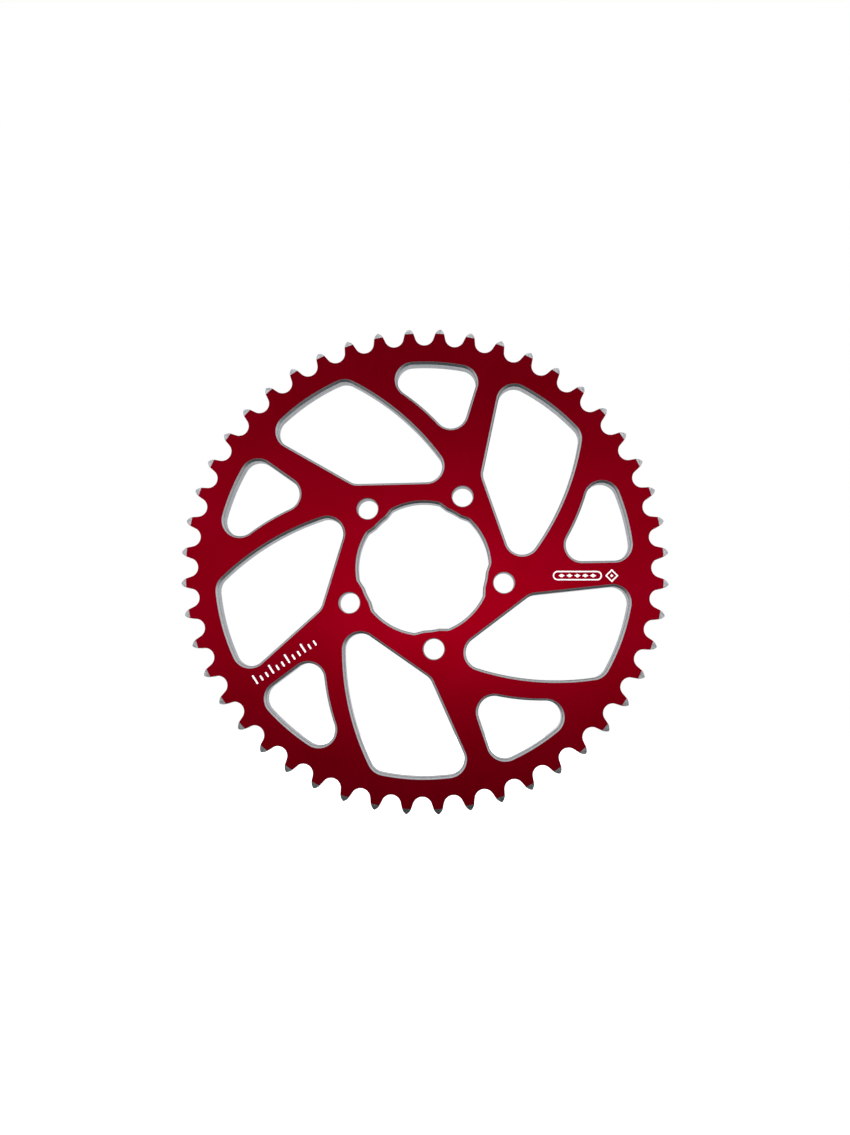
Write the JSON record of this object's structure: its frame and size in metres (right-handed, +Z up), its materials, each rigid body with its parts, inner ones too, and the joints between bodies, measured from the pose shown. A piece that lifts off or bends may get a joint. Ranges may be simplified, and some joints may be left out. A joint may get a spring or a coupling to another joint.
{
  "type": "rear sprocket",
  "caption": "Flat motorcycle rear sprocket with curved spokes, chamfered windows between them, a scalloped centre bore and a ring of bolt holes.",
  "frame": {"origin": "centre of the sprocket, on the axis it turns about, at the middle of the plate's thickness", "axes": "+Y along the axis, from the outer face to the face that seats on the hub; +Z up and +X right as seen from the outer face; a tooth gap lies on +X, and a bolt hole 61.5 degrees from +X towards +Z"},
  "size_m": [0.2008, 0.0058, 0.2008],
  "materials": {
    "anodised_aluminium": "red anodised faces, satin",
    "machined_aluminium": "bare machined edges, chamfers and tooth tips",
    "laser_mark": "matt laser-etched marks"
  },
  "bodies": {
    "root": {"sprocket_plate": "anodised_aluminium"}
  },
  "joints": []
}
